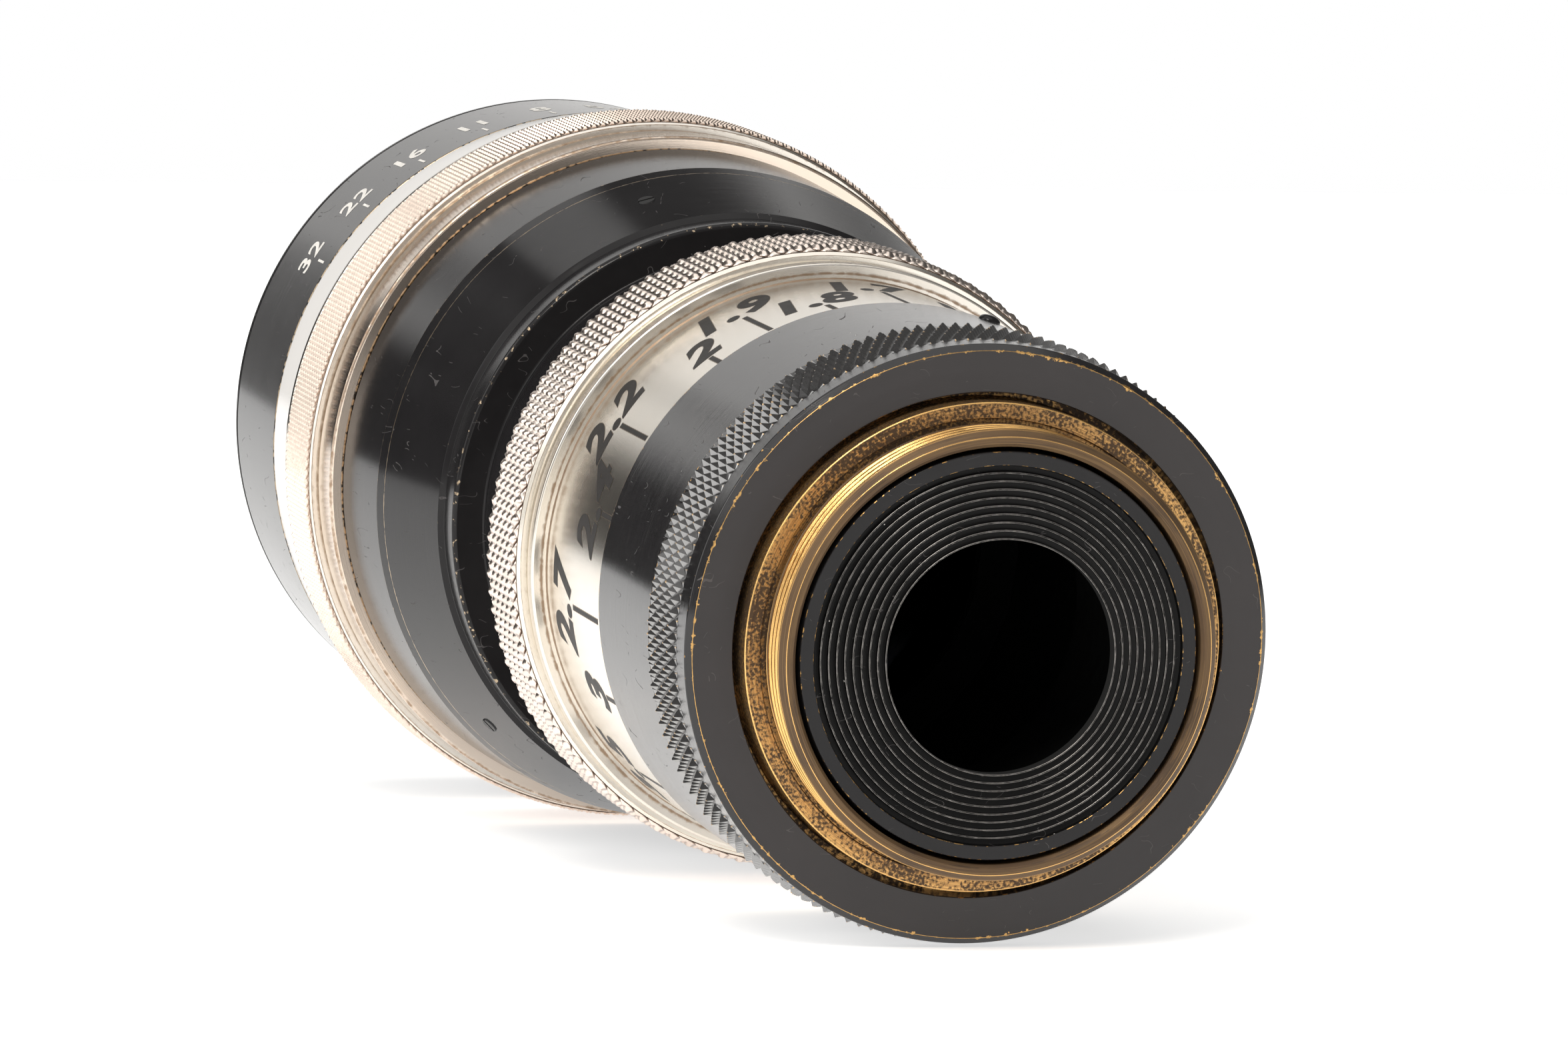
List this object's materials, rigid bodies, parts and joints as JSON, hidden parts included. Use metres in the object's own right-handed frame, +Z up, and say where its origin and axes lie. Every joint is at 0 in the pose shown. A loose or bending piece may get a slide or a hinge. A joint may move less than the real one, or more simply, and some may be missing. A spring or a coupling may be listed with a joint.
{
  "type": "portrait lens",
  "caption": "Long-focus portrait lens in black lacquer and nickel on a brass camera thread, with a helicoid focusing ring, a turning aperture ring and working iris blades.",
  "frame": {"origin": "centre of the camera seat, where the optical axis meets the brass seat plane", "axes": "+Y along the optical axis towards the camera, front of the lens towards -Y, +Z up with the index pin near the top, +X to the left seen from behind the lens"},
  "size_m": [0.0674, 0.1558, 0.0674],
  "materials": {
    "brass": "aged yellow brass, bright on the crests, brown in the recesses",
    "rear_black": "worn satin black over brass",
    "baffle_black": "fine-stepped satin black",
    "black_lacquer": "gloss black lacquer with worn edges",
    "scale_nickel": "brushed satin nickel with black engraving",
    "knurled_nickel": "knurled warm nickel",
    "polished_nickel": "polished warm nickel",
    "steel": "blued screws and key",
    "blade_steel": "blackened spring steel",
    "inner_black": "matt black inner parts",
    "optical_glass": "uncoated polished glass"
  },
  "bodies": {
    "mount_body": {"mount_flange": "brass", "lock_ring": "rear_black", "rear_barrel": "black_lacquer", "index_pin": "polished_nickel", "guide_key": "steel"},
    "focus_body": {"scale_sleeve": "scale_nickel", "grip_ring": "knurled_nickel", "focus_helicoid": "brass", "grip_screw_1": "steel", "grip_screw_2": "steel", "grip_screw_3": "steel"},
    "rangefinder_body": {"rangefinder_sleeve": "baffle_black"},
    "head_body": {"head_tube": "inner_black", "head_shell": "black_lacquer", "trim_band": "polished_nickel", "front_tube": "inner_black", "front_lens_mount": "inner_black", "front_doublet": "optical_glass", "front_spacer": "inner_black", "front_element": "optical_glass", "front_retainer": "inner_black", "front_bezel": "black_lacquer", "rear_cell": "inner_black", "rear_element": "optical_glass", "rear_spacer": "inner_black", "rear_doublet": "optical_glass", "rear_retainer": "inner_black", "iris_plate": "inner_black", "head_screw_1": "steel", "head_screw_2": "steel", "head_screw_3": "steel"},
    "aperture_body": {"aperture_ring": "knurled_nickel", "bevel_ring": "polished_nickel", "aperture_scale_ring": "black_lacquer", "iris_cam_ring": "brass", "iris_drive_arm": "brass", "drive_screw": "steel"},
    "blade_body_01": {"iris_blade_01": "blade_steel"},
    "blade_body_02": {"iris_blade_02": "blade_steel"},
    "blade_body_03": {"iris_blade_03": "blade_steel"},
    "blade_body_04": {"iris_blade_04": "blade_steel"},
    "blade_body_05": {"iris_blade_05": "blade_steel"},
    "blade_body_06": {"iris_blade_06": "blade_steel"},
    "blade_body_07": {"iris_blade_07": "blade_steel"},
    "blade_body_08": {"iris_blade_08": "blade_steel"},
    "blade_body_09": {"iris_blade_09": "blade_steel"},
    "blade_body_10": {"iris_blade_10": "blade_steel"},
    "blade_body_11": {"iris_blade_11": "blade_steel"},
    "blade_body_12": {"iris_blade_12": "blade_steel"}
  },
  "joints": [
    {"name": "focus_turn", "type": "hinge", "parent": "mount_body", "child": "focus_body", "pos_m": [0, -0.0465, 0], "axis": [0, 1, 0], "range_deg": [-271.2, 23.5]},
    {"name": "head_travel", "type": "slide", "parent": "mount_body", "child": "head_body", "axis": [0, -1, 0], "range_m": [-0.01046, 0.0009]},
    {"name": "rangefinder_travel", "type": "slide", "parent": "mount_body", "child": "rangefinder_body", "axis": [0, -1, 0], "range_m": [-0.00171, 0.00017]},
    {"name": "aperture_turn", "type": "hinge", "parent": "head_body", "child": "aperture_body", "pos_m": [0, -0.11475, 0], "axis": [0, -1, 0], "range_deg": [0, 75]},
    {"name": "blade_swing_01", "type": "hinge", "parent": "head_body", "child": "blade_body_01", "pos_m": [0.0252, -0.0908, 0], "axis": [0, -1, 0], "range_deg": [0, 35.1]},
    {"name": "blade_swing_02", "type": "hinge", "parent": "head_body", "child": "blade_body_02", "pos_m": [0.02182, -0.0908, 0.0126], "axis": [0, -1, 0], "range_deg": [0, 35.1]},
    {"name": "blade_swing_03", "type": "hinge", "parent": "head_body", "child": "blade_body_03", "pos_m": [0.0126, -0.0908, 0.02182], "axis": [0, -1, 0], "range_deg": [0, 35.1]},
    {"name": "blade_swing_04", "type": "hinge", "parent": "head_body", "child": "blade_body_04", "pos_m": [0, -0.0908, 0.0252], "axis": [0, -1, 0], "range_deg": [0, 35.1]},
    {"name": "blade_swing_05", "type": "hinge", "parent": "head_body", "child": "blade_body_05", "pos_m": [-0.0126, -0.0908, 0.02182], "axis": [0, -1, 0], "range_deg": [0, 35.1]},
    {"name": "blade_swing_06", "type": "hinge", "parent": "head_body", "child": "blade_body_06", "pos_m": [-0.02182, -0.0908, 0.0126], "axis": [0, -1, 0], "range_deg": [0, 35.1]},
    {"name": "blade_swing_07", "type": "hinge", "parent": "head_body", "child": "blade_body_07", "pos_m": [-0.0252, -0.0908, 0], "axis": [0, -1, 0], "range_deg": [0, 35.1]},
    {"name": "blade_swing_08", "type": "hinge", "parent": "head_body", "child": "blade_body_08", "pos_m": [-0.02182, -0.0908, -0.0126], "axis": [0, -1, 0], "range_deg": [0, 35.1]},
    {"name": "blade_swing_09", "type": "hinge", "parent": "head_body", "child": "blade_body_09", "pos_m": [-0.0126, -0.0908, -0.02182], "axis": [0, -1, 0], "range_deg": [0, 35.1]},
    {"name": "blade_swing_10", "type": "hinge", "parent": "head_body", "child": "blade_body_10", "pos_m": [0, -0.0908, -0.0252], "axis": [0, -1, 0], "range_deg": [0, 35.1]},
    {"name": "blade_swing_11", "type": "hinge", "parent": "head_body", "child": "blade_body_11", "pos_m": [0.0126, -0.0908, -0.02182], "axis": [0, -1, 0], "range_deg": [0, 35.1]},
    {"name": "blade_swing_12", "type": "hinge", "parent": "head_body", "child": "blade_body_12", "pos_m": [0.02182, -0.0908, -0.0126], "axis": [0, -1, 0], "range_deg": [0, 35.1]}
  ],
  "couplings": [
    {"joint": "focus_turn", "follows": "head_travel", "rad_per_m": 452.39},
    {"joint": "rangefinder_travel", "follows": "head_travel", "ratio": 0.162},
    {"joint": "blade_swing_01", "follows": "aperture_turn", "ratio": 0.46667},
    {"joint": "blade_swing_02", "follows": "aperture_turn", "ratio": 0.46667},
    {"joint": "blade_swing_03", "follows": "aperture_turn", "ratio": 0.46667},
    {"joint": "blade_swing_04", "follows": "aperture_turn", "ratio": 0.46667},
    {"joint": "blade_swing_05", "follows": "aperture_turn", "ratio": 0.46667},
    {"joint": "blade_swing_06", "follows": "aperture_turn", "ratio": 0.46667},
    {"joint": "blade_swing_07", "follows": "aperture_turn", "ratio": 0.46667},
    {"joint": "blade_swing_08", "follows": "aperture_turn", "ratio": 0.46667},
    {"joint": "blade_swing_09", "follows": "aperture_turn", "ratio": 0.46667},
    {"joint": "blade_swing_10", "follows": "aperture_turn", "ratio": 0.46667},
    {"joint": "blade_swing_11", "follows": "aperture_turn", "ratio": 0.46667},
    {"joint": "blade_swing_12", "follows": "aperture_turn", "ratio": 0.46667}
  ]
}
